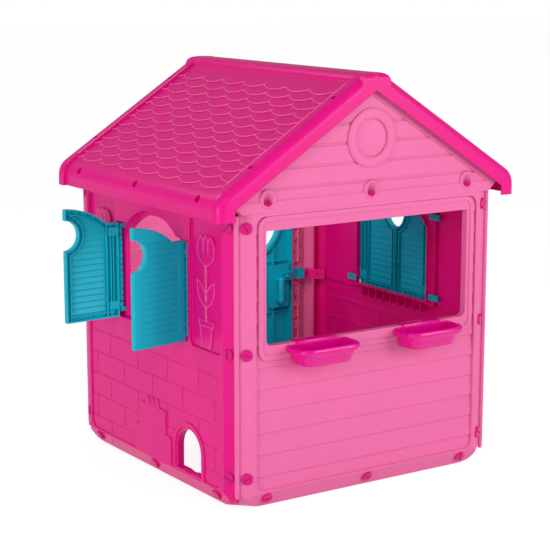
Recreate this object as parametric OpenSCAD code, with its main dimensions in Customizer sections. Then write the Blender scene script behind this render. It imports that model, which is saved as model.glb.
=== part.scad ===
// Children's playhouse moulded in plastic: four wall panels screwed together at the
// corners, two gables, two roof halves, window shutters, a door and two flower boxes.
// Millimetres. The origin is on the floor, in the middle of the front wall's foot, +Z is up,
// and the gable with the serving window faces -Y. Up to from_foot(), which moves each piece
// there, places are given from the middle of the plan.

/* [House] */
// Side of the square plan, between the crests of opposite walls
house = 1000; // [960:10:1060]
// Height of the wall panels
wall_top = 908; // [900:2:930]
// Thickness of the moulded skin
skin = 4; // [3:0.5:5]
// How deep a wall panel is, from its crest to the end of its flanges
panel_depth = 50; // [46:1:56]

/* [Wall edges] */
// Distance from the plan's corner to the crest of a wall
crest_inset = 64; // [60:1:70]
// Width of the slanted strip that carries the corner screws
strip_w = 41.6; // [40:0.4:42]
// Slant of the strips, in degrees
slant = 30; // [28:1:31]
// Height of the crest above the bottom strip
base_crest = 50; // [46:1:54]
// Radius of the rounded bottom corners of the house
corner_r = 68; // [60:2:76]
// Height of the pads that bridge the corner joint at each screw
pad_h = 41; // [38:1:50]
// Depth of the recessed field of a wall
field_deep = 10; // [8:0.5:12]
// Width of the border between a wall's crest and its field
field_border = 14; // [12:1:18]
// Radius of the field's corners
field_r = 30; // [24:1:36]

/* [Boards and bricks] */
// Height of one lap board
board_h = 68; // [64:1:72]
// Depth of a lap board's bottom edge below the crest
board_lip = 5; // [4:0.5:6]
// Length of one brick, with its joint
brick_l = 190; // [180:2:200]
// Height of one brick, with its joint
brick_h = 75.5; // [74:0.5:77]
// Depth of a brick's face below the crest
brick_face = 4; // [3:0.5:5]
// Width of the joints between bricks
joint_w = 5; // [4:1:8]
// Depth of those joints
joint_deep = 2; // [1:0.5:3]

/* [Serving window] */
// Width of the opening in the front wall
serve_w = 770; // [740:2:780]
// Height of its sill above the floor
serve_sill = 505; // [500:1:512]
// Height of its top above the floor
serve_top = 854; // [846:1:856]
// Width of the raised frame round it
serve_frame = 27; // [24:1:28]
// How deep the window's reveal goes
reveal = 27; // [24:1:34]

/* [Shuttered windows] */
// Width of the opening in a side wall
arch_w = 396; // [386:2:400]
// Height of its sill above the floor
arch_sill = 490; // [488:1:494]
// Height of the crown of its arch
arch_crown = 842; // [838:1:844]
// Radius of its arch
arch_r = 250; // [244:2:256]
// Distance from the window's middle to a shutter's hinge axis
hinge_at = 212; // [210:1:214]
// Depth of the hinge axis below the crest
hinge_deep = 9; // [8.5:0.5:10]
// How deep the reveal of that window goes
arch_reveal = 38; // [34:1:42]
// Bottom edge of a shutter
leaf_bottom = 484; // [482:1:486]
// Crown of a pair of closed shutters
leaf_crown = 856; // [854:1:858]
// Radius of that crown
leaf_r = 236; // [232:2:240]
// Height of a shutter's shoulder over its hinge
leaf_shoulder = 797; // [794:1:799]
// Thickness of a shutter
leaf_t = 18; // [16:1:18]
// Radius of the round peep hole that a pair of shutters share
peep_r = 50; // [44:1:54]
// Height of the middle of that hole
peep_z = 770; // [764:1:774]
// Opening angle of the front shutter on the left wall
open_front = 100; // [90:1:104]
// Opening angle of the rear shutter on the left wall
open_rear = 87; // [80:1:100]

/* [Pet door] */
// Width of the small arched opening
pet_w = 142; // [130:2:150]
// Its middle, ahead of the middle of the side wall
pet_at = 226; // [222:1:230]
// Its sill above the floor
pet_sill = 62; // [60:1:66]
// Its crown above the floor
pet_crown = 200; // [190:1:204]
// Width of the border round it
pet_border = 22; // [18:1:24]

/* [Door] */
// Width of the door opening
door_w = 380; // [370:2:390]
// The side of the opening nearest the house's middle
door_from = -10; // [-16:1:-4]
// Sill of the door opening
door_sill = 58; // [56:1:64]
// Top of the door opening
door_top = 860; // [850:2:866]
// Radius of the opening's top corners
door_r = 80; // [60:2:100]
// Gap between the door and its opening
door_gap = 4; // [3:0.5:5]
// Thickness of the door
door_t = 24; // [22:1:28]
// Radius of the door's round window
port_r = 130; // [110:2:135]
// Height of its middle
port_z = 700; // [690:2:706]

/* [Roof] */
// Pitch of the roof, in degrees
pitch = 32.7; // [32:0.1:33.2]
// Height at which the two slopes would meet
roof_z = 1312; // [1308:1:1320]
// Greatest width of the roof, over both eaves
roof_w = 1136; // [1128:2:1146]
// Length of the roof, over both verges
roof_l = 1042; // [1036:2:1048]
// Depth of the verge's face below the slope
verge = 50; // [46:1:50]
// Width of the rolled band along each verge
verge_w = 55; // [50:1:60]
// How far that band stands above the shingles
verge_rise = 10; // [8:1:12]
// Radius of the roll between the band and the verge's face
verge_r = 30; // [26:1:32]
// Radius of the curled eave
eave_r = 54; // [52:1:58]
// Height of the eave's lower edge
eave_z = 893; // [890:1:900]
// Height of the ridge roll's top
ridge_top = 1304; // [1300:1:1306]
// Width of the ridge roll
ridge_w = 108; // [100:2:116]
// Radius of its rounded sides
ridge_r = 30; // [26:1:32]
// Length of a shingle along the eave
shingle_w = 126; // [120:1:130]
// Exposed height of one row of shingles
shingle_h = 39.2; // [38:0.2:40]
// Rows of shingles on each slope
shingle_rows = 13; // [10:1:13]
// How far a shingle's lower edge stands out
shingle_t = 3; // [2:0.5:4]

/* [Screws] */
// Radius of a corner screw's head
head_r = 18; // [16:0.5:18.5]
// Thickness of that head
head_t = 8; // [6:0.5:9]
// Radius of its shank
shank_r = 5; // [4:0.25:6]
// Length of its shank
shank_l = 36; // [32:1:44]
// Play between a shank and its hole
play = 0.1; // [0.05:0.05:0.2]
// Play between pieces that seat on each other
seat = 0.3; // [0.2:0.1:0.4]

/* [Flower boxes] */
// Radius of a box's front corners at the rim
box_r = 50; // [46:1:54]
// Half the distance between the middles of those corners
box_half = 57; // [52:1:62]
// Distance of those middles from the wall
box_in = 42; // [38:1:46]
// Height of a box
box_h = 60; // [54:2:66]
// How much a box narrows towards its bottom, on each side
box_taper = 20; // [14:1:22]
// Distance of a box's middle from the window's middle
box_at = 203; // [196:1:208]

/* [Hidden] */

$fn = 64;
half = house / 2;
crest_x = half - crest_inset;
field_x = crest_x - field_border;
front_pink = "#f070ac";
rose = "#e0308c";
deep_rose = "#e0007c";
teal = "#0098b2";
dark_rose = "#a8125c";

// The frame's origin is in the middle of the front wall's foot
foot_mid = 40;
module from_foot() { translate([0, half - foot_mid, 0]) children(); }

// ---- outlines ------------------------------------------------------------------------

function unit(v) = v / norm(v);
// Corner b of an outline, moved inwards by t; a and c are its neighbours
function inset_corner(a, b, c, t) =
  let (u = unit(b - a), w = unit(c - b), turn = u.x * w.y - u.y * w.x)
  abs(turn) < 0.001 ? b + t * [-u.y, u.x] : b + t * (w - u) / turn;
// An anticlockwise outline moved inwards by t
function inset(p, t) =
  let (n = len(p))
  [for (i = [0 : n - 1]) inset_corner(p[(i + n - 1) % n], p[i], p[(i + 1) % n], t)];

// Outer end of the slanted strip, and where its return meets the corner's mitre plane
strip_end = [crest_x + strip_w * cos(slant), strip_w * sin(slant)];
return_l = (half - strip_end.x - strip_end.y) / (cos(slant) - sin(slant));
mitre_end = strip_end + return_l * [-sin(slant), cos(slant)];
// Where the strip's own plane meets the mitre plane
pad_reach = (half - crest_x) / (cos(slant) + sin(slant));
pad_tip = [crest_x + pad_reach * cos(slant), pad_reach * sin(slant)];

// Plan of a wall panel: x along the wall, y inwards from its crest
function wall_plan(deep) = [
  [-crest_x, 0], [crest_x, 0], strip_end, mitre_end, [half - deep, deep],
  [deep - half, deep], [-mitre_end.x, mitre_end.y], [-strip_end.x, strip_end.y]];
// Side view of a wall panel: x inwards from its crest, y up
foot_y = 5;
foot_in = (base_crest - foot_y) * tan(slant);
function wall_side(deep, low, top) = [
  [0, base_crest], [foot_in, foot_y], [foot_in + foot_y * tan(slant) + 1, low],
  [deep, low], [deep, top], [0, top]];

module rrect(x0, z0, x1, z1, r) {
  for (x = [x0 + r, x1 - r], z = [z0 + r, z1 - r]) translate([x, z]) circle(r);
  translate([x0 + r, z0]) square([x1 - x0 - 2 * r, z1 - z0]);
  translate([x0, z0 + r]) square([x1 - x0, z1 - z0 - 2 * r]);
}

// A box from one corner to the other
module span(a, b) { translate(a) cube(b - a); }
// An upright outline (x, z) given a thickness from y0 to y1
module slab(y0, y1) { translate([0, y1, 0]) rotate([90, 0, 0]) linear_extrude(y1 - y0) children(); }
// A side outline (y, z) run along x
module run_x(x0, x1) {
  translate([x0, 0, 0]) rotate([90, 0, 90]) linear_extrude(x1 - x0) children();
}

// ---- wall panels ---------------------------------------------------------------------

// What the rounded bottom corner takes off a panel, less the skin g
module corner_cut(side, g) {
  q_edge = (strip_end.x + half - strip_end.y) / sqrt(2);
  translate([0, half, 0]) rotate([0, 0, side * 45 - 90]) difference() {
    translate([q_edge - corner_r, -200, -1]) cube([200, 400, corner_r + 1]);
    translate([q_edge - corner_r, 0, corner_r]) rotate([90, 0, 0])
      cylinder(r = corner_r - g, h = 500, center = true);
  }
}

// The block that a panel is moulded over: g is 0 outside and the skin inside
module wall_block(g) {
  deep = panel_depth + (g > 0 ? 3 * skin : 0);
  difference() {
    intersection() {
      translate([0, 0, -2]) linear_extrude(wall_top + 4)
        polygon(g > 0 ? inset(wall_plan(deep), g) : wall_plan(deep));
      run_x(-half, half)
        polygon(g > 0 ? inset(wall_side(deep, 0, wall_top), g) : wall_side(deep, 0, wall_top));
    }
    for (side = [-1, 1]) corner_cut(side, g);
  }
}

// Places its children on a corner screw's seat, with +Z into the wall
screw_on = 18;
corner_zs = [102, 485, 867];
module at_corner_screw(side, z) {
  translate([side * (crest_x + screw_on * cos(slant)), screw_on * sin(slant), z])
    rotate([0, 0, side * slant]) rotate([-90, 0, 0]) children();
}
base_on = 22;
base_xs = [-380, 0, 380];
module at_base_screw(x) {
  translate([x, base_on * sin(slant), base_crest - base_on * cos(slant)])
    rotate([slant - 90, 0, 0]) children();
}
// Screws that hold what stands on the walls slope down into their top flanges
gable_lean = 52;
eave_lean = 33;
cap_xs = [-380, 0, 380];
gable_seat_z = 942;
module at_gable_screw(x, deep) {
  translate([x, 0, gable_seat_z]) rotate([-90 - gable_lean, 0, 0]) translate([0, 0, deep]) children();
}

module screw_pads() {
  for (side = [-1, 1], z = corner_zs) translate([0, 0, z - pad_h / 2]) linear_extrude(pad_h)
    polygon([for (p = [strip_end - [6, 3], strip_end, pad_tip, mitre_end, mitre_end - [4, -2]])
      [side * p.x, p.y]]);
}

// Tubes inside the bottom strip and under the top flange that the screws bite into
boss_r = 9;
module base_bosses() {
  for (x = base_xs) at_base_screw(x) translate([0, 0, skin - 1]) cylinder(r = boss_r, h = 27);
}
module base_bores() {
  for (x = base_xs) at_base_screw(x) translate([0, 0, -10]) cylinder(r = shank_r + play, h = 60);
}
small_r = 3;
module corner_holes() {
  for (side = [-1, 1], z = corner_zs) at_corner_screw(side, z)
    translate([0, 0, -10]) cylinder(r = shank_r + play, h = 18);
}

// A finished panel from its two blocks, its children, plus pads, bosses and holes.
// The first child is what is cut from the outside, the second what the inside keeps.
module wall_shell() {
  difference() {
    union() {
      difference() {
        wall_block(0);
        difference() { wall_block(skin); children(1); }
        children(0);
      }
      screw_pads();
      base_bosses();
      children(2);
    }
    corner_holes();
    base_bores();
    children(3);
  }
}

field_z0 = base_crest + 6;
field_z1 = wall_top - 10;
module field_outline(g) {
  rrect(-field_x - g, field_z0 - g, field_x + g, field_z1 + g, field_r + g);
}
// Face of a lap-boarded wall: the air in front of it, moved in by g
board_z0 = 100 - board_h;
boards = ceil((field_z1 + 20 - board_z0) / board_h);
function lap_face(g) = concat(
  [[-6, board_z0]],
  [for (i = [0 : boards - 1], k = [0, 1])
    [(k == 0 ? board_lip : field_deep) + g, board_z0 + (i + k) * board_h]],
  [[-6, board_z0 + boards * board_h]]);

module boarded(g) {
  intersection() {
    slab(-6, 40) field_outline(g);
    run_x(-half, half) polygon(lap_face(g));
  }
}

// ---- front wall ----------------------------------------------------------------------

serve_x = serve_w / 2;
bead_w = 15;
module serve_frame_outline(g) {
  rrect(-serve_x - serve_frame - g, serve_sill - 45 - g, serve_x + serve_frame + g,
    serve_top + 43 + g, 34 + g);
}
module serve_face_outline(g) {
  rrect(-serve_x - serve_frame + bead_w - g, serve_sill - 45 + bead_w - g,
    serve_x + serve_frame - bead_w + g, serve_top + 43 - bead_w + g, 20 + g);
}
module serve_outline(g) {
  r = 20;
  rrect(-serve_x - g, serve_sill - g, serve_x + g, serve_sill + 3 * r, r + g);
  translate([-serve_x - g, serve_sill + r]) square([serve_w + 2 * g, serve_top - serve_sill - r + g]);
}
module front_relief(g) {
  difference() {
    boarded(g);
    slab(-8, 42) serve_frame_outline(-g);
  }
  slab(-6, 3 + g) serve_face_outline(g);
}
module gable_boss_set(r, h, from) {
  for (x = cap_xs) at_gable_screw(x, from) cylinder(r = r, h = h);
}
// Depth along a gable screw at which it enters the wall's top flange
gable_entry = (gable_seat_z - wall_top) / sin(gable_lean);
module gable_bosses() {
  intersection() { gable_boss_set(boss_r, 26, gable_entry); wall_block(skin - 0.5); }
}
module gable_bores() { gable_boss_set(small_r + play, 60, 10); }

module front_panel() {
  wall_shell() {
    union() { front_relief(0); slab(-6, 60) serve_outline(0); }
    union() { front_relief(skin); slab(-6, reveal) serve_outline(skin); }
    gable_bosses();
    gable_bores();
  }
}
module front_wall() { from_foot() color(front_pink) translate([0, -half, 0]) front_panel(); }

// ---- back wall -----------------------------------------------------------------------

// The door opening in the back panel's own frame, whose x runs the other way
back_door_x0 = -(door_from + door_w);
module door_hole(g) {
  r = door_r + g;
  rrect(back_door_x0 - g, door_top - 3 * r, back_door_x0 + door_w + g, door_top + g, r);
  translate([back_door_x0 - g, door_sill - g]) square([door_w + 2 * g, door_top - door_sill - r]);
}
door_frame = 22;
module back_relief(g) {
  difference() {
    boarded(g);
    slab(-8, 42) door_frame_outline(-g);
  }
}
module door_frame_outline(g) {
  f = door_frame + g;
  r = door_r + f;
  rrect(back_door_x0 - f, door_top - 3 * r, back_door_x0 + door_w + f, door_top + f, r);
  translate([back_door_x0 - f, door_sill - 30]) square([door_w + 2 * f, door_top - door_sill - r + 30]);
}
door_reveal = 28;
// Hinge axis of the door: outside the crest, beside the opening
door_hinge = [door_from - 12, half + 9];
door_knuckle_r = 9;
door_pin_r = 4;
knuckle_h = 24;
door_lugs_z = [170, 730];
module door_wall_lugs() {
  for (z = door_lugs_z) translate([-door_hinge.x, half - door_hinge.y, z]) {
    cylinder(r = door_knuckle_r, h = knuckle_h);
    span([0, 0, 0], [door_knuckle_r, 14, knuckle_h]);
  }
}
module door_lug_bores() {
  translate([-door_hinge.x, half - door_hinge.y, 0])
    for (z = door_lugs_z) translate([0, 0, z - 1]) cylinder(r = door_pin_r + play, h = knuckle_h + 2);
}
// A second wall inside, beside the opening's latch edge, with rungs between the two
module door_side_ribs() {
  x1 = back_door_x0 - 2;
  for (i = [1 : 18]) if (i != 10) span([x1 - 26, field_deep + skin - 1, 70 + i * rib_step],
    [x1, door_reveal - 2, 73 + i * rib_step]);
  for (z = [[90, 450], [530, 840]])
    span([x1 - 28, field_deep + skin - 1, z[0]], [x1 - 25, door_reveal - 1, z[1]]);
}
module back_panel() {
  wall_shell() {
    union() { back_relief(0); slab(-6, 60) door_hole(0); }
    union() { back_relief(skin); slab(-6, door_reveal) door_hole(skin); }
    union() { gable_bosses(); door_wall_lugs(); door_side_ribs(); }
    union() { gable_bores(); door_lug_bores(); }
  }
}
module back_wall() { from_foot() color(front_pink) rotate([0, 0, 180]) translate([0, -half, 0]) back_panel(); }

// ---- side walls ----------------------------------------------------------------------

// Drawn for the left wall: +x in the panel's own frame is towards the front of the house
bricks_top = 462;
rest_deep = hinge_deep + 13;
module arch_hole(g) {
  intersection() {
    translate([0, arch_crown - arch_r]) circle(arch_r + g);
    translate([-arch_w / 2 - g, arch_sill - g]) square([arch_w + 2 * g, house]);
  }
}
// The shallow seat that the closed shutters lie in
module leaf_rest(g) {
  c = 3 + g;
  x1 = hinge_at + 14 + g;
  intersection() {
    translate([0, leaf_crown - leaf_r]) circle(leaf_r + c);
    translate([-x1, leaf_shoulder - 60]) square([2 * x1, 200]);
  }
  translate([-x1, leaf_bottom - c]) square([2 * x1, leaf_shoulder + c - leaf_bottom + c]);
}
module pet_hole(g) {
  r = pet_w / 2;
  translate([pet_at, pet_crown - r]) circle(r + g);
  translate([pet_at - r - g, pet_sill - g]) square([pet_w + 2 * g, pet_crown - r - pet_sill + g]);
}
pet_bead = 12;
module pet_frame(g) {
  r = pet_w / 2 + pet_border;
  translate([pet_at, pet_crown - pet_w / 2]) circle(r + g);
  translate([pet_at - r - g, field_z0 - 10]) square([2 * (r + g), pet_crown - pet_w / 2 - field_z0 + 10]);
}
// A stepped planter moulded low on the wall
planter_top = 226;
planter_w = 170;
planter_foot_w = 238;
planter_step = 146;
module planter_outline(g) {
  rrect(-planter_w / 2 - g, field_z0 - 20, planter_w / 2 + g, planter_top + g, 8);
  rrect(-planter_foot_w / 2 - g, field_z0 - 20, planter_foot_w / 2 + g, planter_step + g, 12);
}
first_course = 103;
brick_rows = floor((bricks_top - first_course) / brick_h);
module brick_joints(g) {
  w = joint_w + 2 * g;
  for (i = [0 : brick_rows]) {
    z = first_course + i * brick_h;
    translate([-half, z - w / 2]) square([house, w]);
    for (j = [-3 : 3]) translate([(j + ((i + 1) % 2) / 2) * brick_l - w / 2, z - brick_h]) square([w, brick_h]);
  }
}
// Recess with a potted flower, either side of the window
panel_x0 = hinge_at + 28;
panel_z0 = 474;
panel_z1 = 872;
panel_deep = 12;
module flower_recess(side, g) {
  x0 = side > 0 ? panel_x0 : -field_x + 4;
  rrect(x0 - g, panel_z0 - g, x0 + field_x - 4 - panel_x0 + g, panel_z1 + g, 16 + g);
}
pot_mid = (panel_x0 + field_x - 4) / 2;
module potted_flower() {
  translate([0, panel_z0 + 8]) polygon([[-24, 0], [24, 0], [34, 66], [-34, 66]]);
  translate([-40, panel_z0 + 74]) square([80, 16]);
  translate([-4, panel_z0 + 90]) square([8, 180]);
  for (k = [-1, 1]) {
    intersection() {
      translate([k * 62, panel_z0 + 150]) circle(66);
      translate([-k * 16, panel_z0 + 196]) circle(66);
      translate([k * 30, panel_z0 + 160]) square([60, 140], center = true);
    }
    intersection() {
      translate([k * 22, panel_z0 + 318]) circle(34);
      translate([0, panel_z0 + 300]) circle(62);
    }
  }
  intersection() {
    translate([-40, panel_z0 + 318]) circle(56);
    translate([40, panel_z0 + 318]) circle(56);
  }
  translate([0, panel_z0 + 286]) circle(26);
}
module side_relief(g) {
  difference() {
    union() {
      slab(-6, brick_face + g) field_outline(g);
      intersection() {
        slab(-6, brick_face + joint_deep + g) field_outline(g);
        slab(-8, 42) brick_joints(g);
      }
    }
    slab(-8, 44) {
      pet_frame(-g);
      planter_outline(-g);
    }
  }
  slab(-6, rest_deep + g) leaf_rest(g);
  for (side = [-1, 1]) slab(-6, panel_deep + g) flower_recess(side, g);
  slab(-6, brick_face + g) intersection() {
    pet_frame(g - pet_bead);
    translate([0, pet_sill - g]) square(house);
  }
}
// Eave screws, seen in the side panel's own frame
eave_pocket_x = 538;
eave_pocket_z = 943;
eave_entry = (eave_pocket_z - wall_top) / sin(eave_lean);
module side_caps(r, h, deep) {
  for (x = cap_xs) translate([x, half - eave_pocket_x, eave_pocket_z]) rotate([-90 - eave_lean, 0, 0])
    translate([0, 0, deep]) cylinder(r = r, h = h);
}

// Slots in the wall for the hinge clips' eyes
clip_zs = [507, 785];
clip_h = 14;
module clip_slots() {
  for (side = [-1, 1], z = clip_zs)
    translate([side * hinge_at, 0, 0])
      span([-7, rest_deep - 2, z - clip_h / 2 - 1], [7, rest_deep + skin + 2, z + clip_h / 2 + 1]);
}
// Short ribs inside the wall, round the window's reveal
rib_step = 42;
module window_ribs() {
  for (i = [-4 : 4]) translate([i * rib_step - 1.5, 0, 0]) {
    span([0, brick_face + skin - 1, arch_sill - 42], [3, arch_reveal - 2, leaf_bottom - 5]);
    span([0, rest_deep + 2, leaf_bottom - 6], [3, arch_reveal - 2, arch_sill - 2]);
  }
  for (s = [-1, 1], i = [1 : 5]) span([min(s * (arch_w / 2 + 2), s * (hinge_at + 16)), rest_deep + 2, arch_sill + i * rib_step],
    [max(s * (arch_w / 2 + 2), s * (hinge_at + 16)), arch_reveal - 2, arch_sill + i * rib_step + 3]);
}
module side_panel() {
  wall_shell() {
    union() { side_relief(0); slab(-6, 60) { arch_hole(0); pet_hole(0); } clip_slots(); }
    union() { side_relief(skin); slab(-6, reveal) pet_hole(skin); slab(-6, arch_reveal) arch_hole(skin); }
    union() {
      intersection() { side_caps(boss_r, 28, eave_entry); wall_block(skin - 0.5); }
      for (side = [-1, 1]) intersection() {
        slab(panel_deep - 5, panel_deep + 1) translate([side * pot_mid, 0]) potted_flower();
        slab(0, 40) flower_recess(side, -6);
      }
      window_ribs();
      slab(brick_face - 3, brick_face + 1) for (k = [-1, 0, 1]) intersection() {
        translate([k * 30 - 34, planter_top - 6]) circle(48);
        translate([k * 30 + 34, planter_top - 6]) circle(48);
        translate([-100, planter_top - 2]) square([200, 60]);
      }
    }
    side_caps(small_r + play, 100, 10);
  }
}
module left_wall() { from_foot() color(rose) rotate([0, 0, -90]) translate([0, -half, 0]) side_panel(); }
module right_wall() { from_foot() color(rose) mirror([1, 0, 0]) rotate([0, 0, -90]) translate([0, -half, 0]) side_panel(); }

// ---- gables --------------------------------------------------------------------------

slope = tan(pitch);
function roof_line(x, down) = roof_z - down / cos(pitch) - slope * abs(x);
gable_depth = 40;
gable_under = verge - 21.7;
gable_x0 = 470;
gable_x1 = 506;
gable_z1 = 940;
gable_plan = [[-gable_x0, wall_top], [gable_x0, wall_top], [gable_x1, gable_z1],
  [gable_x1, roof_line(gable_x1, gable_under)], [0, roof_line(0, gable_under)],
  [-gable_x1, roof_line(gable_x1, gable_under)], [-gable_x1, gable_z1]];
ring_z = 1107;
ring_r = 90;
ring_w = 30;
plank_h = 60;
plank_zs = [for (i = [0 : 3]) 976 + i * plank_h];
plank_groove = 9;
pocket_r = 16;
// Depth of a pocket's floor along its screw
gable_floor = 12;
gable_border = 34;
gable_foot_x = (roof_line(0, gable_under) - wall_top) / slope;
gable_peak = [[-gable_foot_x, wall_top], [gable_foot_x, wall_top], [0, roof_line(0, gable_under)]];
module gable_field(g) { polygon(inset(gable_peak, gable_border - g)); }
module gable_relief(g) {
  difference() {
    intersection() {
      slab(-6, 7 + g) gable_field(g);
      union() {
        slab(-6, 3 + g) translate([-half, wall_top]) square([house, house]);
        for (z = plank_zs) slab(-6, 7 + g)
          translate([-half, z - plank_groove / 2 - g]) square([house, plank_groove + 2 * g]);
      }
    }
    slab(-8, 30) translate([0, ring_z]) circle(ring_r - g);
    for (x = cap_xs) slab(-8, 30) translate([x, gable_seat_z + 6]) circle(30 - g);
  }
  slab(-6, 5 + g) translate([0, ring_z]) circle(ring_r - ring_w + g);
  for (x = cap_xs) at_gable_screw(x, -30) cylinder(r = pocket_r + g, h = 30 + gable_floor + g);
}
// Screws through the roof's verges into the gables' top edges, square to the slope
verge_us = [156, 507];
verge_in = 13;
verge_seat = 6;
module at_verge_screw(side, u, depth) {
  mirror([side < 0 ? 1 : 0, 0, 0]) translate([0, verge_in, roof_z]) rotate([0, pitch, 0])
    translate([u, 0, -depth]) rotate([180, 0, 0]) children();
}
module verge_screw_set(depth) {
  for (side = [-1, 1], u = verge_us) at_verge_screw(side, u, depth) children();
}
module gable_panel() {
  difference() {
    union() {
      difference() {
        slab(0, gable_depth) polygon(gable_plan);
        difference() {
          slab(skin, gable_depth + 10) polygon(inset(gable_plan, skin));
          gable_relief(skin);
        }
        gable_relief(0);
      }
      verge_screw_set(gable_under + 1) cylinder(r = 7, h = 24);
    }
    gable_boss_set(small_r + play, 60, 10);
    verge_screw_set(verge_seat - 1) cylinder(r = small_r + play, h = 50);
  }
}
module front_gable() { from_foot() color(front_pink) translate([0, -half, 0]) gable_panel(); }
module back_gable() { from_foot() color(front_pink) rotate([0, 0, 180]) translate([0, -half, 0]) gable_panel(); }

// ---- roof ----------------------------------------------------------------------------

verge_y = roof_l / 2;
band_y = verge_y - verge_w;
roll_y = verge_y - verge_r;
eave_x = roof_w / 2 - verge_rise;
curl = [eave_x - eave_r, roof_line(eave_x - eave_r + eave_r * sin(pitch), 0) - eave_r * cos(pitch)];
curl_x = curl.x + eave_r * sin(pitch);
band_edge_r = 6;
open_below = 20;
// How much further down the inside block reaches than the outside one
function spare(g) = g > 0 ? open_below : 0;
// Section of the right half of the roof: g is 0 outside and the skin inside
module roof_section(g) {
  low = verge + spare(g);
  x_top = (roof_z - ridge_top + g - g / cos(pitch)) / slope;
  difference() {
    union() {
      polygon([[x_top, ridge_top - g], [curl_x, roof_line(curl_x, g)], curl,
        [eave_x - g, curl.y], [eave_x - g, eave_z - spare(g)],
        [eave_x - 30 - 3 * spare(g), eave_z - spare(g)],
        [curl_x - 40, roof_line(curl_x - 40, low)], [g, roof_line(g, low)], [g, ridge_top - g]]);
      translate(curl) circle(eave_r - g);
    }
    translate([0, eave_z - spare(g) - 100]) square([house, 100]);
    if (g == 0) polygon([[0, roof_line(0, low)], [eave_x, roof_line(eave_x, low)], [eave_x, 0], [0, 0]]);
  }
}
// Turns (down the slope, out of it) into the house's own frame, for the right half
module on_slope() { translate([0, 0, roof_z]) rotate([0, pitch, 0]) children(); }
// Section of the rolled band on the verge: height above the shingles, distance from the middle
module verge_section(g) {
  low = -verge - spare(g);
  translate([verge_rise - verge_r, roll_y]) circle(verge_r - g);
  translate([verge_rise - band_edge_r, band_y + band_edge_r]) circle(band_edge_r - g);
  translate([low, band_y + g]) square([verge_rise - band_edge_r - low, roll_y - band_y - g]);
  translate([low, band_y + band_edge_r]) square([verge_rise - g - low, roll_y - band_y - band_edge_r]);
  translate([low, band_y + g]) square([verge_rise - verge_r - low, verge_w - 2 * g]);
}
// The band runs down the slope, round the curled eave and down to its lower edge
module verge_band(g) {
  on_slope() rotate([0, -90, 0]) mirror([0, 0, 1]) translate([0, 0, -200])
    linear_extrude(curl_x / cos(pitch) + 200) verge_section(g);
  intersection() {
    translate([curl.x, 0, curl.y]) rotate([-90, 0, 0]) rotate_extrude() intersection() {
      translate([eave_r, 0]) verge_section(g);
      translate([0, -house]) square([200, 2 * house]);
    }
    translate([0, house, 0]) rotate([90, 0, 0]) linear_extrude(house)
      polygon([curl, curl + 200 * [sin(pitch), cos(pitch)], curl + [200, 200], curl + [200, 0]]);
  }
  translate([curl.x + eave_r, 0, eave_z - spare(g)])
    linear_extrude(curl.y - eave_z + spare(g)) verge_section(g);
}
ridge_end_r = 20;
// The roll along the ridge, half of it on each side
module ridge_roll(g) {
  x1 = ridge_w / 2;
  z0 = roof_line(0, verge - 10);
  intersection() {
    translate([0, verge_y, 0]) rotate([90, 0, 0]) linear_extrude(roof_l) {
      translate([x1 - ridge_r, ridge_top - ridge_r]) circle(ridge_r - g);
      translate([g, z0]) square([x1 - ridge_r - g, ridge_top - g - z0]);
      translate([g, z0]) square([x1 - 2 * g, ridge_top - ridge_r - z0]);
    }
    run_x(g, x1) {
      for (s = [-1, 1]) translate([s * (verge_y - ridge_end_r), ridge_top - ridge_end_r]) circle(ridge_end_r - g);
      translate([g - verge_y, z0]) square([roof_l - 2 * g, ridge_top - ridge_end_r - z0]);
      translate([ridge_end_r - verge_y, z0]) square([roof_l - 2 * ridge_end_r, ridge_top - g - z0]);
    }
  }
}
module roof_block(g) {
  translate([0, roll_y, 0]) rotate([90, 0, 0]) linear_extrude(2 * roll_y) roof_section(g);
  intersection() {
    for (m = [0, 1]) mirror([0, m, 0]) verge_band(g);
    span([g, -house, 0], [house, house, ridge_top - g]);
  }
  ridge_roll(g);
}
field_u0 = 105;
field_v = band_y - 4;
lobe = 20;
lobe_r = (pow(shingle_w / 2, 2) + lobe * lobe) / (2 * lobe);
module shingle_row(i) {
  u1 = field_u0 + (i + 1) * shingle_h;
  over = 8;
  columns = ceil(field_v / shingle_w);
  intersection() {
    union() for (k = [-columns : columns]) intersection() {
      translate([u1 - lobe_r, (k + (i % 2) / 2) * shingle_w]) circle(lobe_r);
      translate([u1 - shingle_h - over, (k + (i % 2) / 2 - 0.5) * shingle_w])
        square([shingle_h + over, shingle_w]);
    }
    translate([u1 - shingle_h - over, -field_v]) square([shingle_h + over, 2 * field_v]);
  }
}
module shingles() {
  tilt = atan(shingle_t / (shingle_h + 8));
  on_slope() for (i = [0 : shingle_rows - 1]) {
    u0 = field_u0 + i * shingle_h - 8;
    translate([u0, 0, 0]) rotate([0, -tilt, 0]) translate([-u0, 0, -shingle_t])
      linear_extrude(shingle_t) shingle_row(i);
  }
}
eave_pocket_r = 12;
eave_seat = 8;
// Places its children on an eave screw's axis, with +Z the way it goes in
module at_eave_screw(y, deep) {
  translate([eave_pocket_x, y, eave_pocket_z]) rotate([0, 270 - eave_lean, 0])
    translate([0, 0, deep]) children();
}
verge_pocket_r = 9;
module at_roof_verge(u, depth) {
  for (s = [-1, 1]) on_slope() translate([u, s * (half - verge_in), -depth]) rotate([180, 0, 0]) children();
}
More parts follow.
